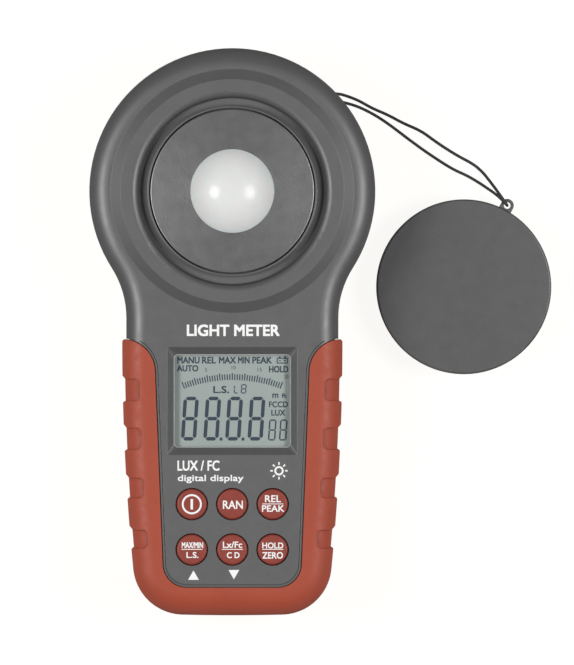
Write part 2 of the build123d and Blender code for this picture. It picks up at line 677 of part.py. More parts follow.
MAT_MIDDLE_Y = sum(KEY_ROWS) / 2
with BuildPart() as keypad_mat:
    with BuildSketch(Plane.XY.offset(BOARD_TOP)):
        with Locations((0, MAT_MIDDLE_Y)):
            RectangleRounded(36.6, 26.0, 2.5)
    extrude(amount=4.4)
    with BuildSketch(Plane.XY.offset(BOARD_TOP)):
        with Locations((0, MAT_MIDDLE_Y)):
            RectangleRounded(34.2, 23.6, 1.5)
    extrude(amount=3.4, mode=Mode.SUBTRACT)
    with BuildSketch(Plane.XY.offset(BOARD_TOP)):
        with Locations(*[(x, y) for x in KEY_COLUMNS for y in KEY_ROWS]):
            Circle(2.8)
    extrude(amount=5, mode=Mode.SUBTRACT)
finish(keypad_mat, "keypad_mat")

with BuildPart() as snap_domes:
    with BuildSketch(Plane.XY.offset(BOARD_TOP)):
        with Locations(*[(x, y) for x in KEY_COLUMNS for y in KEY_ROWS]):
            Circle(3.0)
    extrude(amount=SNAP_HEIGHT, taper=45)
finish(snap_domes, "snap_domes")

# ---------------------------------------------------------------- main board
with BuildPart() as main_board:
    with BuildSketch(Plane.XY.offset(BOARD_Z)):
        with Locations((0, (BOARD_LOW_Y + BOARD_HIGH_Y) / 2)):
            RectangleRounded(2 * BOARD_HALF, BOARD_HIGH_Y - BOARD_LOW_Y, 3.0)
    extrude(amount=BOARD_THICK)
    with BuildSketch(Plane.XY.offset(BOARD_Z)):
        with Locations(*BOARD_SCREWS):
            Circle(1.0)
    extrude(amount=BOARD_THICK, mode=Mode.SUBTRACT)
finish(main_board, "main_board")

with BuildPart() as main_chip:
    with Locations((0, DISPLAY_Y, BOARD_TOP + 0.8)):
        Box(14.0, 14.0, 1.6)
    with Locations((-5.4, DISPLAY_Y + 5.4, BOARD_TOP + 1.6)):
        Cylinder(0.6, 0.3, mode=Mode.SUBTRACT)
finish(main_chip, "main_chip")

with BuildPart() as board_components:
    with Locations(*[(x, -41.8, BOARD_TOP + 0.5) for x in (-12, -8, -4, 0, 4, 8, 12)]):
        Box(2.0, 1.2, 1.0)
    with Locations((-12, 3.4, BOARD_TOP + 1.7), (12, 3.4, BOARD_TOP + 1.7)):
        Cylinder(2.5, 3.4)
    with Locations((6.6, 3.4, BOARD_TOP + 0.9)):
        Box(3.2, 6.0, 1.8)
finish(board_components, "board_components")

with BuildPart() as board_screws:
    with BuildSketch(Plane.XY.offset(BOARD_Z - 1.2)):
        with Locations(*BOARD_SCREWS):
            Circle(1.9)
    extrude(amount=1.2)
    with BuildSketch(Plane.XY.offset(BOARD_Z)):
        with Locations(*BOARD_SCREWS):
            Circle(BOARD_SCREW_RADIUS)
    extrude(amount=5.6)
finish(board_screws, "board_screws")

with BuildPart() as case_screws:
    with BuildSketch(Plane.XY.offset(SCREW_HEAD_LOW)):
        with Locations(*CASE_SCREWS):
            Circle(SCREW_HEAD_RADIUS)
    extrude(amount=SCREW_HEAD_TOP - SCREW_HEAD_LOW)
    head_faces = case_screws.faces().filter_by(Axis.Z).group_by(Axis.Z)[0]
    chamfer(head_faces.edges(), 0.5)
    with BuildSketch(Plane.XY.offset(SCREW_HEAD_TOP)):
        with Locations(*CASE_SCREWS):
            Circle(SCREW_RADIUS)
    extrude(amount=SCREW_REACH)
    with BuildSketch(Plane.XY.offset(SCREW_HEAD_LOW)):
        with Locations(*CASE_SCREWS):
            Rectangle(3.0, 0.7)
            Rectangle(0.7, 3.0)
    extrude(amount=1.0, mode=Mode.SUBTRACT)
finish(case_screws, "case_screws")

# ---------------------------------------------------------------- battery and its door
BATTERY_LOW = DOOR_LOW + DOOR_THICK + PAD_THICK + 0.1
BATTERY_MIDDLE_Z = BATTERY_LOW + BATTERY_SIZE[2] / 2
BATTERY_Y = WELL_LOW_Y + 1.5 + BATTERY_SIZE[1] / 2
BATTERY_END_Y = BATTERY_Y + BATTERY_SIZE[1] / 2
SNAP_LOW_Y = BATTERY_END_Y + BATTERY_STUD
SNAP_THICK = 3.0
with BuildPart() as battery:
    with Locations((0, BATTERY_Y, BATTERY_MIDDLE_Z)):
        Box(*BATTERY_SIZE)
    fillet(battery.edges().filter_by(Axis.Y), 2.0)
    with BuildSketch(Plane.XZ.offset(-BATTERY_END_Y)):
        with Locations((-6.35, BATTERY_MIDDLE_Z), (6.35, BATTERY_MIDDLE_Z)):
            Circle(2.8)
    extrude(amount=-BATTERY_STUD)
finish(battery, "battery")

with BuildPart() as battery_snap:
    with Locations((0, SNAP_LOW_Y + SNAP_THICK / 2, BATTERY_MIDDLE_Z)):
        Box(25.0, SNAP_THICK, 13.0)
    fillet(battery_snap.edges().filter_by(Axis.Y), 3.0)
finish(battery_snap, "battery_snap")

LEAD_RISE_Y = WELL_HIGH_Y + 5.0
with BuildPart() as battery_leads:
    for x in (-2.0, 2.0):
        start = (x, SNAP_LOW_Y + SNAP_THICK, LEAD_Z)
        with BuildLine():
            FilletPolyline(start, (x, LEAD_RISE_Y, LEAD_Z), (x, LEAD_RISE_Y, BOARD_Z), radius=2.0)
        with BuildSketch(Plane(origin=start, z_dir=(0, 1, 0))):
            Circle(LEAD_RADIUS)
        sweep()
finish(battery_leads, "battery_leads")

with BuildPart() as battery_door:
    with Locations((0, DOOR_MIDDLE_Y, DOOR_AXIS_Z)):
        Box(2 * DOOR_HALF, DOOR_HIGH_Y - DOOR_LOW_Y, DOOR_THICK)
    fillet(battery_door.edges().filter_by(Axis.Z), 1.6)
    hinge_end = battery_door.edges().filter_by(Axis.X).group_by(Axis.Y)[0]
    fillet(hinge_end, DOOR_THICK / 2 - 0.02)
    with BuildSketch(Plane.YZ):
        with Locations((DOOR_AXIS_Y, DOOR_AXIS_Z)):
            Circle(DOOR_THICK / 2)
    extrude(amount=DOOR_HALF + DOOR_TAB, both=True)
    with Locations((0, DOOR_HIGH_Y, DOOR_AXIS_Z)):
        Box(8, 0.4, 0.5)
    with Locations((0, DOOR_HIGH_Y - 5, DOOR_LOW)):
        Cylinder(4.5, 1.2, mode=Mode.SUBTRACT)
finish(battery_door, "battery_door")

with BuildPart() as battery_pad:
    with Locations((0, BATTERY_Y, DOOR_LOW + DOOR_THICK + PAD_THICK / 2)):
        Box(20.0, 34.0, PAD_THICK)
finish(battery_pad, "battery_pad")

# ---------------------------------------------------------------- strap bar, cord and lens cap
with BuildPart() as strap_bar:
    with BuildSketch(strap_frame):
        Circle(STRAP_BAR_RADIUS)
    extrude(amount=STRAP_POCKET + 1, both=True)
finish(strap_bar, "strap_bar")

pull = Vector(cos(radians(STRAP_TURN)), sin(radians(STRAP_TURN)), 0)
knot_centre = Vector(STRAP_X, STRAP_Y, STRAP_BAR_Z)
with BuildPart() as cord_knot:
    with Locations(knot_centre):
        Sphere(KNOT_RADIUS)
    with BuildSketch(Plane(origin=knot_centre + pull * KNOT_FACE, z_dir=pull)):
        Rectangle(4, 4)
    extrude(amount=1, mode=Mode.SUBTRACT)
    with BuildSketch(strap_frame):
        Circle(STRAP_BAR_RADIUS)
    extrude(amount=STRAP_POCKET, both=True, mode=Mode.SUBTRACT)
finish(cord_knot, "cord_knot")


def corner_radii(route):
    """Largest round at each corner that leaves a tenth of the shorter run straight."""
    radii = []
    for before, corner, after in zip(route, route[1:], route[2:]):
        run_in, run_out = corner - before, after - corner
        half_turn = radians(run_in.get_angle(run_out)) / 2
        radii.append(0.45 * min(run_in.length, run_out.length) / tan(half_turn))
    return radii


route = [Vector(*point) for point in CORD_ROUTE]
cord_radii = corner_radii(route)
with BuildPart() as tether_cord:
    with BuildLine() as cord_path:
        FilletPolyline(*route, radius=cord_radii)
    with BuildSketch(Plane(origin=route[0], z_dir=route[1] - route[0])):
        Circle(CORD_RADIUS)
    sweep()
finish(tether_cord, "tether_cord")
cord_length = sum(edge.length for edge in cord_path.edges())
print("cord length", round(cord_length, 1), "volume", round(tether_cord.part.volume, 2),
      "section x length", round(pi * CORD_RADIUS**2 * cord_length, 2))

# The ear is an eye on the cap's side, just below the rounded edge.
ear_reach = Vector(EAR_X - CAP_X, EAR_Y - CAP_Y)
ear_root = (CAP_RADIUS + CAP_BORE) / 2
with BuildSketch() as ear_plan:
    with Locations((ear_reach.length, 0)):
        Circle(EAR_RADIUS)
    with Locations((ear_root, 0)):
        Rectangle(
            ear_reach.length - ear_root, 2 * EAR_RADIUS, align=(Align.MIN, Align.CENTER)
        )
    with Locations((ear_reach.length, 0)):
        Circle(EAR_HOLE, mode=Mode.SUBTRACT)

cap_axis = Axis((CAP_X, CAP_Y, 0), (0, 0, 1))
cap_side = (CAP_RADIUS, CAP_HEIGHT - CAP_EDGE)
cap_top = (CAP_RADIUS - CAP_EDGE, CAP_HEIGHT)
with BuildPart() as lens_cap:
    with BuildSketch(Plane(origin=(CAP_X, CAP_Y, 0), x_dir=(1, 0, 0), z_dir=(0, -1, 0))):
        with BuildLine():
            Polyline(
                cap_side, (CAP_RADIUS, 0), (CAP_BORE, 0), (CAP_BORE, CAP_HEIGHT - CAP_PLATE),
                (0, CAP_HEIGHT - CAP_PLATE), (0, CAP_HEIGHT), cap_top,
            )
            RadiusArc(cap_top, cap_side, CAP_EDGE)
        make_face()
    revolve(axis=cap_axis)
    with BuildSketch(Plane((CAP_X, CAP_Y, EAR_TOP - EAR_THICK), x_dir=ear_reach)):
        add(ear_plan.sketch)
    extrude(amount=EAR_THICK - 0.1)
finish(lens_cap, "lens_cap")
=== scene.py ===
from math import cos, radians, sin

import bmesh
import bpy
from mathutils import Matrix, Vector


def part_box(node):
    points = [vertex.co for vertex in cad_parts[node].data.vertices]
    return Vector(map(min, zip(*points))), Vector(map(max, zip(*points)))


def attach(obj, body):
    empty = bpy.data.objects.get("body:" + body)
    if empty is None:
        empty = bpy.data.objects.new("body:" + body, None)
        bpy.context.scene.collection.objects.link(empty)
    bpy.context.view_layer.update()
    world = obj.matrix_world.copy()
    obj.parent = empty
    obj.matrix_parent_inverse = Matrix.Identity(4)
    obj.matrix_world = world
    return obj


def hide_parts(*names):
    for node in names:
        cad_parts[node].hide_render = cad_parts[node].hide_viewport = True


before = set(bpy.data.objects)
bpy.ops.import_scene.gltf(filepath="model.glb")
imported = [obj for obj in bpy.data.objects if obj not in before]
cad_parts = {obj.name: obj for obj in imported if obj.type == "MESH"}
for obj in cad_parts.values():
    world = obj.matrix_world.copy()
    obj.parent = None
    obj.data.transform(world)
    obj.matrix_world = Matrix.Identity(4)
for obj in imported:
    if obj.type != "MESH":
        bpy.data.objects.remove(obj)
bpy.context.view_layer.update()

# Looks of a hand-held light meter with a tethered lens cap. Metres, in the frame of the CAD part:
# +X right of the face, +Y towards the sensor head, +Z out of the face, z = 0 the table.

MM = 0.001


def box_middle(node):
    """The middle of a node's box."""
    low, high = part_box(node)
    return (low + high) / 2


ROOT = "meter"
WINDOW_DEPTH = 1.6 * MM  # the display window lies this far below the face
FACE_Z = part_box("display_window")[1].z + WINDOW_DEPTH
GLASS_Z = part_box("display_glass")[1].z
DISPLAY = box_middle("display_window")
HEAD = box_middle("diffuser_dome")


# ------------------------------------------------------------------ camera, floor and light
VIEW_CENTRE = Vector((16.4, -0.3)) * MM
VIEW_HEIGHT = 199.1 * MM  # what the picture spans from top to bottom, at the face
CAMERA_HEIGHT = 3.0
FAR_CLIP = 150.0
SENSOR_WIDTH = 36.0
LIGHT_DISTANCE = 0.9
LIGHT_WIDE, LIGHT_LONG = 0.34, 0.40
LIGHT_Y = 0.4 * HEAD.y
LIGHT_TILT = 38  # degrees from overhead, to either side
FLOOR_HALF = 60.0  # a low view shows its far edge only along the top of the picture


def make_camera():
    data = bpy.data.cameras.new("camera")
    data.sensor_width = SENSOR_WIDTH
    data.lens = data.sensor_width * (CAMERA_HEIGHT - FACE_Z) / VIEW_HEIGHT
    data.clip_end = FAR_CLIP
    camera = bpy.data.objects.new("camera", data)
    camera.location = (VIEW_CENTRE.x, VIEW_CENTRE.y, CAMERA_HEIGHT)
    bpy.context.scene.collection.objects.link(camera)
    bpy.context.scene.camera = camera


def make_light(name, tilt, strength):
    """A soft box tilted from overhead to one side, in degrees; positive is to the right."""
    data = bpy.data.lights.new(name, "AREA")
    data.shape = "ELLIPSE"
    data.size = LIGHT_WIDE
    data.size_y = LIGHT_LONG
    data.energy = strength
    light = bpy.data.objects.new(name, data)
    turn = radians(tilt)
    light.location = (LIGHT_DISTANCE * sin(turn), LIGHT_Y, LIGHT_DISTANCE * cos(turn))
    light.rotation_euler = (0, turn, 0)
    light.visible_camera = False
    bpy.context.scene.collection.objects.link(light)


def make_world():
    world = bpy.data.worlds.new("studio")
    world.use_nodes = True
    background = world.node_tree.nodes["Background"]
    background.inputs["Color"].default_value = (1.0, 0.995, 0.985, 1)
    background.inputs["Strength"].default_value = 0.12
    bpy.context.scene.world = world


def make_floor():
    mesh = bpy.data.meshes.new("floor")
    half = FLOOR_HALF
    mesh.from_pydata(
        [(-half, -half, 0), (half, -half, 0), (half, half, 0), (-half, half, 0)], [], [(0, 1, 2, 3)]
    )
    floor = bpy.data.objects.new("floor", mesh)
    bpy.context.scene.collection.objects.link(floor)
    paint = Paint("pale_floor", (0.12, 0.119, 0.117), roughness=0.9, specular=0.0)
    paint.shader.inputs["Emission Color"].default_value = (1.0, 0.99, 0.97, 1)
    paint.shader.inputs["Emission Strength"].default_value = 0.93
    mesh.materials.append(paint.material)
    floor.visible_glossy = False


# ------------------------------------------------------------------ materials
PATTERN_LOW, PATTERN_HIGH = 0.3, 0.7  # the part of a pattern's range that most of it falls in
MIX_A, MIX_B, MIX_RESULT = 6, 7, 2  # the sockets that a mix node uses for colours


class Paint:
    """A node-based surface that starts as a plain principled shader and gains layers of detail."""

    def __init__(self, name, colour, roughness=0.5, specular=0.5, metallic=0.0):
        self.material = bpy.data.materials.new(name)
        self.material.use_nodes = True
        self.tree = self.material.node_tree
        self.shader = self.tree.nodes["Principled BSDF"]
        self.shader.inputs["Base Color"].default_value = (*colour, 1)
        self.shader.inputs["Roughness"].default_value = roughness
        self.shader.inputs["Specular IOR Level"].default_value = specular
        self.shader.inputs["Metallic"].default_value = metallic
        self.place = self.tree.nodes.new("ShaderNodeTexCoord").outputs["Object"]
        self.colour = None
        self.normal = None
        self.base = colour

    def node(self, kind, **inputs):
        made = self.tree.nodes.new(kind)
        for key, value in inputs.items():
            socket = made.inputs[key.replace("_", " ")]
            if isinstance(value, bpy.types.NodeSocket):
                self.tree.links.new(value, socket)
            else:
                socket.default_value = value
        return made

    def noise(self, size_mm, detail=2.0, rough=0.5):
        """Cloudy pattern with features of about this size."""
        return self.node(
            "ShaderNodeTexNoise", Vector=self.place, Scale=1 / (size_mm * MM), Detail=detail,
            Roughness=rough,
        ).outputs["Fac"]

    def cells(self, size_mm):
        """Pebbled pattern of rounded cells of about this size."""
        made = self.node("ShaderNodeTexVoronoi", Vector=self.place, Scale=1 / (size_mm * MM))
        made.feature = "SMOOTH_F1"
        return made.outputs["Distance"]

    def ramp(self, factor, low, high, dark, light):
        """Colour that goes from dark to light as the factor goes from low to high."""
        made = self.node("ShaderNodeValToRGB", Fac=factor)
        made.color_ramp.elements[0].position = low
        made.color_ramp.elements[1].position = high
        made.color_ramp.elements[0].color = (*dark, 1)
        made.color_ramp.elements[1].color = (*light, 1)
        return made.outputs["Color"]

    def vary(self, factor, amount):
        """Darkens the colour by up to this amount along a pattern. The first pattern also starts
        from a colour lighter by half of that, so that its average stays the named colour."""
        shade = self.ramp(factor, PATTERN_LOW, PATTERN_HIGH, (1 - amount,) * 3, (1,) * 3)
        mix = self.tree.nodes.new("ShaderNodeMix")
        mix.data_type = "RGBA"
        mix.blend_type = "MULTIPLY"
        mix.inputs["Factor"].default_value = 1.0
        if self.colour is None:
            mix.inputs[MIX_A].default_value = (*[c * (1 + amount / 2) for c in self.base], 1)
        else:
            self.tree.links.new(self.colour, mix.inputs[MIX_A])
        self.tree.links.new(shade, mix.inputs[MIX_B])
        self.colour = mix.outputs[MIX_RESULT]
        self.tree.links.new(self.colour, self.shader.inputs["Base Color"])
        return self

    def relief(self, height, depth_mm, strength=1.0):
        """Raises the surface along a pattern, on top of any relief it already has."""
        bump = self.node("ShaderNodeBump", Height=height, Distance=depth_mm * MM, Strength=strength)
        if self.normal is not None:
            self.tree.links.new(self.normal, bump.inputs["Normal"])
        self.normal = bump.outputs["Normal"]
        self.tree.links.new(self.normal, self.shader.inputs["Normal"])
        return self

    def soften(self, radius_mm):
        """Lets edges catch the light as if they were rounded by this much."""
        bevel = self.node("ShaderNodeBevel", Radius=radius_mm * MM)
        bevel.samples = 6
        self.normal = bevel.outputs["Normal"]
        return self

    def polish(self, factor, smooth, rough):
        """Roughness that follows a pattern."""
        made = self.node("ShaderNodeMapRange", Value=factor)
        made.inputs["From Min"].default_value = PATTERN_LOW
        made.inputs["From Max"].default_value = PATTERN_HIGH
        made.inputs["To Min"].default_value = smooth
        made.inputs["To Max"].default_value = rough
        self.tree.links.new(made.outputs["Result"], self.shader.inputs["Roughness"])
        return self

    def socket(self, name, value):
        self.shader.inputs[name].default_value = value
        return self


def grained_plastic(name, colour, roughness, grain_mm=0.32, depth_mm=0.02):
    """Moulded plastic with a fine spark-eroded grain and faint handling marks."""
    paint = Paint(name, colour, roughness, specular=1.0).soften(0.22)
    paint.vary(paint.noise(14.0, 3.0), 0.03)
    paint.vary(paint.noise(grain_mm, 2.0, 0.6), 0.18)
    paint.relief(paint.noise(grain_mm, 3.0, 0.65), depth_mm)
    paint.polish(paint.noise(4.0, 5.0), roughness - 0.02, roughness + 0.04)
    return paint


def soft_rubber(name, colour, roughness):
    """Soft overmoulded rubber: satin, with a very fine tooth and cloudy wear."""
    paint = Paint(name, colour, roughness, specular=0.32).soften(0.4)
    paint.vary(paint.noise(12.0, 3.0), 0.06)
    paint.vary(paint.noise(0.28, 2.0), 0.10)
    paint.relief(paint.noise(0.22, 3.0, 0.6), 0.010)
    paint.polish(paint.noise(2.2, 4.0), roughness - 0.05, roughness + 0.10)
    return paint


def metal(name, colour, roughness):
    paint = Paint(name, colour, roughness, metallic=1.0)
    paint.vary(paint.noise(1.5, 4.0), 0.12)
    paint.relief(paint.noise(0.12, 2.0), 0.004)
    paint.polish(paint.noise(0.8, 4.0), roughness - 0.08, roughness + 0.12)
    return paint


def make_materials():
    paints = {}
    paints["case"] = grained_plastic("case_plastic", (0.085, 0.085, 0.087), 0.46)
    paints["sensor"] = grained_plastic("sensor_plastic", (0.060, 0.060, 0.062), 0.36, 0.42, 0.045)
    paints["sensor"].socket("IOR", 1.85)
    paints["cap"] = grained_plastic("cap_plastic", (0.065, 0.065, 0.067), 0.44, 0.30, 0.016)
    paints["grip"] = soft_rubber("grip_rubber", (0.385, 0.070, 0.037), 0.50)
    paints["key"] = soft_rubber("key_rubber", (0.27, 0.052, 0.036), 0.42)

    dome = Paint("opal_dome", (0.73, 0.735, 0.725), 0.38, specular=0.2)
    dome.vary(dome.noise(6.0), 0.03)
    dome.relief(dome.noise(0.5, 2.0), 0.004)
    dome.socket("Subsurface Weight", 0.25).socket("Subsurface Scale", 0.003)
    dome.socket("Coat Weight", 0.27).socket("Coat Roughness", 0.14)
    paints["dome"] = dome

    window = Paint("window_lens", (0.10, 0.11, 0.10), 0.06)
    window.polish(window.noise(5.0, 3.0), 0.05, 0.11)
    window.socket("Alpha", 0.07)
    paints["window"] = window
    # painted highlight: light grey for the lens's chamfered edge, in place of the light that the glass
    # edge catches
    edge = Paint("window_edge_highlight", (0.50, 0.52, 0.50), 0.20)
    edge.vary(edge.noise(1.2), 0.10)
    paints["window_edge_highlight"] = edge

    cell = Paint("display_cell", (0.415, 0.472, 0.450), 0.5, specular=0.1)
    cell.vary(cell.noise(14.0, 2.0), 0.05)
    cell.vary(cell.noise(0.18, 1.0), 0.03)
    paints["cell"] = cell
    paints["segment"] = Paint("display_segment", (0.048, 0.070, 0.100), 0.5, specular=0.1)
    paints["segment"].vary(paints["segment"].noise(0.5), 0.10)
    paints["segment_faint"] = Paint("display_segment_faint", (0.20, 0.22, 0.20), 0.5)
    paints["segment_faint"].vary(paints["segment_faint"].noise(0.5), 0.06)
    paints["ink"] = Paint("white_ink", (0.86, 0.86, 0.85), 0.5)
    paints["ink"].vary(paints["ink"].noise(0.25, 2.0), 0.06)
    paints["ink"].relief(paints["ink"].noise(0.2), 0.004)

    paints["steel"] = metal("zinc_steel", (0.60, 0.60, 0.61), 0.32)
    paints["spring_steel"] = metal("snap_steel", (0.72, 0.71, 0.68), 0.25)
    paints["tin"] = metal("tinned_parts", (0.62, 0.58, 0.50), 0.36)
    paints["board"] = Paint("board_lacquer", (0.02, 0.15, 0.065), 0.28)
    paints["board"].vary(paints["board"].cells(2.2), 0.45)
    paints["board"].relief(paints["board"].cells(1.1), 0.03)
    paints["chip"] = Paint("chip_epoxy", (0.018, 0.018, 0.02), 0.42)
    paints["chip"].vary(paints["chip"].noise(0.4), 0.25)
    paints["chip"].relief(paints["chip"].noise(0.12), 0.006)
    paints["silicone"] = soft_rubber("silicone", (0.36, 0.36, 0.37), 0.55)
    paints["frame"] = grained_plastic("frame_plastic", (0.72, 0.72, 0.70), 0.45)
    paints["film"] = Paint("cable_film", (0.62, 0.33, 0.08), 0.30)
    paints["film"].vary(paints["film"].cells(0.9), 0.30)
    paints["filter"] = Paint("filter_glass", (0.25, 0.50, 0.38), 0.05)
    paints["filter"].vary(paints["filter"].noise(4.0), 0.08)
    paints["battery"] = Paint("battery_can", (0.055, 0.06, 0.085), 0.30, metallic=0.6)
    paints["battery"].vary(paints["battery"].noise(7.0), 0.20)
    paints["battery"].polish(paints["battery"].noise(1.0, 4.0), 0.22, 0.42)
    paints["lead"] = soft_rubber("lead_sleeve", (0.42, 0.02, 0.02), 0.4)
    paints["foam"] = Paint("foam", (0.04, 0.04, 0.04), 0.95)
    paints["foam"].vary(paints["foam"].cells(0.5), 0.5)
    paints["foam"].relief(paints["foam"].cells(0.5), 0.15)
    return paints


NODE_FINISH = {
    "case": ("front_case", "rear_case", "sensor_rim", "battery_door"),
    "sensor": ("sensor_plate", "sensor_carrier"),
    "cap": ("lens_cap",),
    "grip": ("front_grip", "rear_grip"),
    "key": ("key_power", "key_range", "key_relative", "key_max_min", "key_units", "key_hold"),
    "dome": ("diffuser_dome",),
    "window": ("display_window",),
    "cell": ("display_glass",),
    "steel": ("case_screws", "board_screws", "sensor_screws", "strap_bar"),
    "spring_steel": ("snap_domes",),
    "tin": ("board_components",),
    "board": ("main_board", "sensor_board"),
    "chip": ("main_chip", "photodiode", "battery_snap"),
    "silicone": ("keypad_mat", "contact_strips"),
    "frame": ("display_frame",),
    "film": ("sensor_cable",),
    "filter": ("colour_filter",),
    "battery": ("battery",),
    "lead": ("battery_leads",),
    "foam": ("battery_pad",),
}


CHAMFER_UP = (0.3, 0.95)  # a face whose normal points this far up is neither the wall nor the top: the chamfer, which gets the painted highlight


def paint_window_edge(material):
    """Paints a highlight on the lens's chamfered edge all round: a light grey that stands in for the
    light the glass edge catches.
    """
    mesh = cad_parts["display_window"].data
    mesh.materials.append(material.material)
    for polygon in mesh.polygons:
        if CHAMFER_UP[0] < polygon.normal.z < CHAMFER_UP[1]:
            polygon.material_index = 1


def paint_nodes(materials):
    for finish, nodes in NODE_FINISH.items():
        for name in nodes:
            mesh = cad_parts[name].data
            mesh.materials.clear()
            mesh.materials.append(materials[finish].material)


# ------------------------------------------------------------------ the cord
CORD_DIAMETER = 0.9 * MM
CORD_ROUTE = (
    (25.71, 71.08, 2.20), (26.90, 71.16, 2.20), (28.4, 71.55, 1.75), (30.2, 72.0, 1.15),
    (32.5, 71.95, 0.65), (35.2, 71.1, 0.50), (38.2, 69.9, 0.50), (42.2, 67.6, 0.50),
    (47.0, 65.6, 0.50), (51.7, 63.0, 0.50), (57.0, 60.8, 0.50), (61.8, 57.2, 0.50),
    (67.7, 53.4, 0.50), (72.9, 50.7, 0.55), (75.7, 48.2, 1.40), (77.9, 45.3, 4.30),
    (79.5, 43.0, 7.90), (81.0, 40.8, 10.7), (82.9, 38.05, 10.8), (82.9, 38.05, 7.9),
    (81.2, 40.0, 7.60), (79.3, 41.7, 6.00), (77.2, 43.2, 3.20), (74.8, 44.9, 1.10),
    (71.0, 47.2, 0.55), (66.9, 49.0, 0.50), (63.0, 51.4, 0.50), (58.2, 54.6, 0.50),
    (53.0, 58.4, 0.50), (48.2, 62.1, 0.50), (43.4, 65.4, 0.50), (38.1, 68.1, 0.50),
    (34.0, 69.3, 0.55), (31.3, 69.8, 0.80), (29.1, 69.95, 1.10), (27.3, 69.95, 1.75),
    (26.2, 69.91, 2.20), (25.79, 69.88, 2.20),
)


def make_cord():
    """The braided cord from its knot under the head, through the cap's ear and back."""
    curve = bpy.data.curves.new("tether_braid", "CURVE")
    curve.dimensions = "3D"
    spline = curve.splines.new("NURBS")
    spline.points.add(len(CORD_ROUTE) - 1)
    for point, place in zip(spline.points, CORD_ROUTE):
        point.co = (*(Vector(place) * MM), 1)
    spline.order_u = 3
    spline.use_endpoint_u = True
    spline.resolution_u = 12
    curve.bevel_depth = CORD_DIAMETER / 2
    curve.bevel_resolution = 4
    curve.use_fill_caps = True
    cord = bpy.data.objects.new("tether_braid", curve)
    bpy.context.scene.collection.objects.link(cord)
    paint = Paint("cord_braid", (0.035, 0.035, 0.038), 0.75)
    paint.vary(paint.noise(0.35, 2.0), 0.5)
    paint.relief(paint.noise(0.30, 2.0), 0.10)
    curve.materials.append(paint.material)
    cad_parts["cord_knot"].data.materials.clear()
    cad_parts["cord_knot"].data.materials.append(paint.material)
    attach(cord, ROOT)
    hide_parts("tether_cord")


# ------------------------------------------------------------------ printed marks
INK_THICKNESS = 0.03 * MM
INK_SINK = 0.3 * INK_THICKNESS  # how far the print reaches into the surface
LAYER_STEP = 0.006 * MM  # keeps the copies that thicken a letter off one another's plane
DIGIT_LEAN = 0.066  # to the right, for each unit of height


def text_faces(bm, words, left, low, right, high, bold=0.0):
    """Adds words as flat faces that fill a box, with strokes thickened; all in millimetres."""
    curve = bpy.data.curves.new("words", "FONT")
    curve.body = words
    curve.resolution_u = 4
    holder = bpy.data.objects.new("words", curve)
    bpy.context.scene.collection.objects.link(holder)
    bpy.context.view_layer.update()
    mesh = bpy.data.meshes.new_from_object(holder)
    bpy.data.objects.remove(holder)
    bpy.data.curves.remove(curve)
    xs = [v.co.x for v in mesh.vertices]
    ys = [v.co.y for v in mesh.vertices]
    wide = (right - left - 2 * bold) / (max(xs) - min(xs))
    tall = (high - low - 2 * bold) / (max(ys) - min(ys))
    for v in mesh.vertices:
        x, y = left + bold + (v.co.x - min(xs)) * wide, low + bold + (v.co.y - min(ys)) * tall
        v.co = (x * MM, y * MM, 0)
    shifts = ((-1, -1), (1, -1), (-1, 1), (1, 1)) if bold else ((0, 0),)
    for layer, (across, up) in enumerate(shifts):
        copy = mesh.copy()
        copy.transform(Matrix.Translation((across * bold * MM, up * bold * MM, layer * LAYER_STEP)))
        bm.from_mesh(copy)
        bpy.data.meshes.remove(copy)
    bpy.data.meshes.remove(mesh)


def polygon_faces(bm, polygons):
    """Adds polygons, each a list of x, y in millimetres, as flat faces."""
    for polygon in polygons:
        bm.faces.new([bm.verts.new((x * MM, y * MM, 0)) for x, y in polygon])


def marks_object(name, bm, height, material, body):
    """Turns flat faces into a thin printed layer on the surface at this height."""
    for face in bm.faces:
        face.normal_update()
        if face.normal.z < 0:
            face.normal_flip()
    lower = list(bm.faces)
    made = bmesh.ops.extrude_face_region(bm, geom=lower, use_keep_orig=True)
    raised = [v for v in made["geom"] if isinstance(v, bmesh.types.BMVert)]
    bmesh.ops.translate(bm, verts=raised, vec=(0, 0, INK_THICKNESS))
    for face in lower:
        face.normal_flip()
    mesh = bpy.data.meshes.new(name)
    bm.to_mesh(mesh)
    bm.free()
    mesh.transform(Matrix.Translation((0, 0, height - INK_SINK)))
    mesh.materials.append(material.material)
    piece = bpy.data.objects.new(name, mesh)
    bpy.context.scene.collection.objects.link(piece)
    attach(piece, body)
    return piece


def bar(x0, y0, x1, y1):
    return [(x0, y0), (x1, y0), (x1, y1), (x0, y1)]


def ring_sector(x, y, inner, outer, start, end, steps=24):
    """Polygons of a round band from start to end, in degrees."""
    turns = [radians(start + (end - start) * i / steps) for i in range(steps + 1)]
    return [
        [
            (x + inner * cos(a), y + inner * sin(a)), (x + outer * cos(a), y + outer * sin(a)),
            (x + outer * cos(b), y + outer * sin(b)), (x + inner * cos(b), y + inner * sin(b)),
        ]
        for a, b in zip(turns, turns[1:])
    ]


def seven_segments(left, low, width, height, stroke, lean, lit=range(7)):
    """The bars of one leaning digit, pointed at their ends: bottom, middle and top, then two on
    the left and two on the right, the lower one first."""
    gap = stroke * 0.14
    middle = low + height / 2
    half = stroke / 2

    def across(y):
        a, b = left + half + gap, left + width - half - gap
        return [
            (a, y), (a + half, y + half), (b - half, y + half), (b, y), (b - half, y - half),
            (a + half, y - half),
        ]

    def upright(x, y0, y1):
        a, b = y0 + gap, y1 - gap
        return [
            (x, a), (x + half, a + half), (x + half, b - half), (x, b), (x - half, b - half),
            (x - half, a + half),
        ]

    bars = [across(low + half), across(middle), across(low + height - half)]
    for x in (left + half, left + width - half):
        bars += [upright(x, low + half, middle), upright(x, middle, low + height - half)]
    return [[(x + (y - low) * lean, y) for x, y in bars[i]] for i in lit]


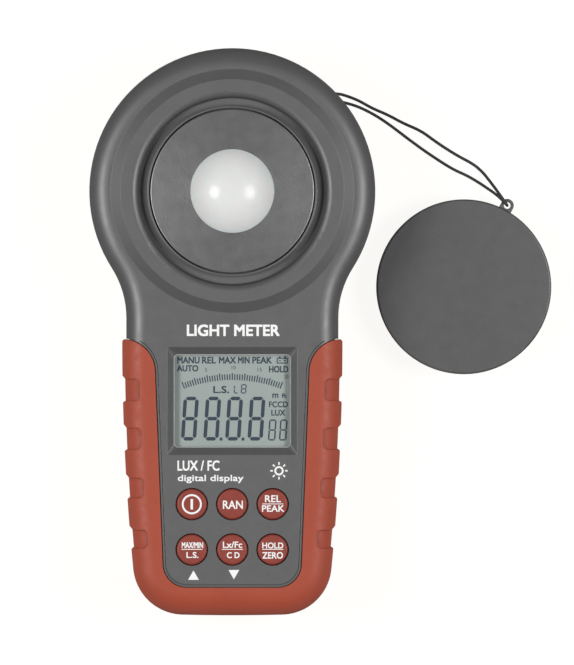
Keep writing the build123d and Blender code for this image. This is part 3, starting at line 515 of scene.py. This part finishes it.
def make_display_marks(materials):
    """Everything that the display can show, as dark segments on the cell."""
    cx, cy = DISPLAY.x / MM, DISPLAY.y / MM
    strong, faint = bmesh.new(), bmesh.new()

    def words(bm, text, left, right, low, high, bold=0.07):
        text_faces(bm, text, cx + left, cy + low, cx + right, cy + high, bold)

    def digit(bm, left, low, width, height, stroke, lit=range(7)):
        polygon_faces(bm, seven_segments(cx + left, cy + low, width, height, stroke, DIGIT_LEAN, lit))

    for text, left, right, low, high in (
        ("MANU", -16.5, -9.8, 11.2, 13.2), ("REL", -9.1, -4.9, 11.2, 13.2),
        ("MAX", -4.0, 1.1, 11.2, 13.2), ("MIN", 1.7, 5.2, 11.2, 13.2),
        ("PEAK", 6.0, 11.9, 11.2, 13.2), ("AUTO", -16.6, -10.2, 8.8, 10.7),
        ("HOLD", 11.0, 16.8, 8.5, 10.5), ("L.S.", -5.7, -1.0, 2.3, 4.5),
    ):
        words(strong, text, left, right, low, high)
    for text, left, right, low, high in (
        ("m", 12.0, 13.8, 0.9, 2.2), ("ft", 14.8, 16.3, 0.9, 2.3),
        ("FCCD", 11.0, 16.7, -1.95, -0.15), ("LUX", 11.7, 15.9, -4.45, -2.65),
    ):
        words(strong, text, left, right, low, high, 0.05)
    for text, middle, low in (("5", -7.9, 8.7), ("10", 0.4, 9.4), ("15", 8.2, 8.8), ("20", 16.2, 6.7)):
        half = 0.33 * len(text)
        words(faint, text, middle - half, middle + half, low, low + 1.15, 0.04)
    # a battery block with its two studs
    polygon_faces(strong, [
        bar(cx + x0, cy + y0, cx + x1, cy + y1) for x0, y0, x1, y1 in (
            (13.3, 11.2, 13.6, 12.9), (16.4, 11.2, 16.7, 12.9), (13.6, 11.2, 16.4, 11.5),
            (13.6, 12.6, 16.4, 12.9), (13.9, 11.95, 14.7, 12.15), (15.3, 11.95, 16.1, 12.15),
            (15.6, 11.65, 15.8, 12.45), (13.9, 12.9, 14.5, 13.3), (15.5, 12.9, 16.1, 13.3),
        )
    ])
    # arched bar graph, every fifth bar longer
    radius, reach, count = 42.8, 20.4, 40
    bar_length, extra_length, half_width = 1.75, 0.35, radians(0.24)
    centre = cy + 8.0 - radius
    for i in range(count + 1):
        turn = radians(90 + reach - 2 * reach * i / count)
        inner = radius - bar_length
        outer = radius + (extra_length if i % 5 == 0 else 0)
        polygon_faces(strong, [[
            (cx + r * cos(turn + side * half_width), centre + r * sin(turn + side * half_width))
            for r, side in ((inner, -1), (inner, 1), (outer, 1), (outer, -1))
        ]])
    for left in (-15.45, -8.75, -2.2, 4.5):
        digit(strong, left, -11.9, 4.6, 13.15, 1.08)
    for left in (-3.8, 2.8):
        polygon_faces(strong, [bar(cx + left, cy - 11.9, cx + left + 0.85, cy - 11.0)])
    for left in (10.65, 13.95):
        digit(strong, left, -11.9, 2.25, 6.35, 0.44)
    digit(strong, 0.4, 2.2, 1.4, 2.6, 0.32, (0, 3, 4))
    digit(strong, 2.5, 2.2, 1.65, 2.8, 0.32)
    marks_object("display_segments", strong, GLASS_Z, materials["segment"], ROOT)
    marks_object("display_scale", faint, GLASS_Z, materials["segment_faint"], ROOT)


def make_face_print(materials):
    """White print on the face: a plain title, two lines under the display, a sun and two arrows."""
    bm = bmesh.new()
    text_faces(bm, "LIGHT METER", -13.6, -1.4, 14.2, 2.1, bold=0.13)
    text_faces(bm, "LUX / FC", -16.4, -41.7, -3.8, -38.6, bold=0.08)
    text_faces(bm, "digital display", -16.3, -45.4, 3.4, -42.9, bold=0.05)
    for x, y, flip in ((-11.6, -72.95, 1), (0.5, -72.8, -1)):
        base = y - 1.4 * flip
        polygon_faces(bm, [[(x - 1.6, base), (x + 1.6, base), (x, y + 1.4 * flip)]])
    sun = Vector((14.0, -41.7))
    polygon_faces(bm, ring_sector(sun.x, sun.y, 0.85, 1.4, 0, 360, 32))
    for i in range(8):
        turn = radians(45 * i)
        along, across = Vector((cos(turn), sin(turn))), Vector((-sin(turn), cos(turn)))
        corners = [(1.8, -0.22), (2.6, -0.22), (2.6, 0.22), (1.8, 0.22)]
        polygon_faces(bm, [[tuple(sun + along * a + across * b) for a, b in corners]])
    marks_object("face_print", bm, FACE_Z, materials["ink"], ROOT)


# legend of each key: words with the box that each fills about the key's centre, as its left,
# right, bottom and top, and the rule between two words
RULE = (-3.1, 3.2, -0.02, 0.2)
KEY_WORDS = {
    "key_range": (("RAN", -2.8, 3.2, -1.4, 1.1),),
    "key_relative": (("REL", -2.3, 2.5, 0.6, 2.7), ("PEAK", -3.2, 3.5, -2.25, -0.3)),
    "key_max_min": (("MAX/MIN", -3.0, 3.4, 0.45, 2.25), ("L.S.", -1.6, 2.0, -2.5, -0.7)),
    "key_units": (("Lx/Fc", -2.8, 3.0, 0.5, 2.45), ("C D", -1.6, 2.2, -2.55, -0.75)),
    "key_hold": (("HOLD", -3.1, 3.2, 0.35, 2.15), ("ZERO", -3.1, 3.1, -2.7, -0.7)),
}


def make_key_legends(materials):
    """White legend on top of each key; the first key has the usual power sign."""
    for key in NODE_FINISH["key"]:
        centre = box_middle(key)
        x, y = centre.x / MM, centre.y / MM
        top_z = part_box(key)[1].z
        bm = bmesh.new()
        lines = KEY_WORDS.get(key, ())
        for text, left, right, bottom, top in lines:
            text_faces(bm, text, x + left, y + bottom, x + right, y + top, bold=0.05)
        if len(lines) == 2:
            left, right, bottom, top = RULE
            polygon_faces(bm, [bar(x + left, y + bottom, x + right, y + top)])
        if not lines:
            polygon_faces(bm, ring_sector(x, y, 2.45, 3.0, 0, 360, 48))
            polygon_faces(bm, [bar(x - 0.36, y - 1.55, x + 0.36, y + 1.55)])
        marks_object(key + "_legend", bm, top_z, materials["ink"], key + "_body")


bpy.context.scene.view_settings.view_transform = "Standard"
make_camera()
make_cord()
make_world()
make_light("soft_box_left", -LIGHT_TILT, 5.2)
make_light("soft_box_right", LIGHT_TILT, 4.8)
make_floor()
finishes = make_materials()
paint_nodes(finishes)
paint_window_edge(finishes["window_edge_highlight"])
make_display_marks(finishes)
make_face_print(finishes)
make_key_legends(finishes)
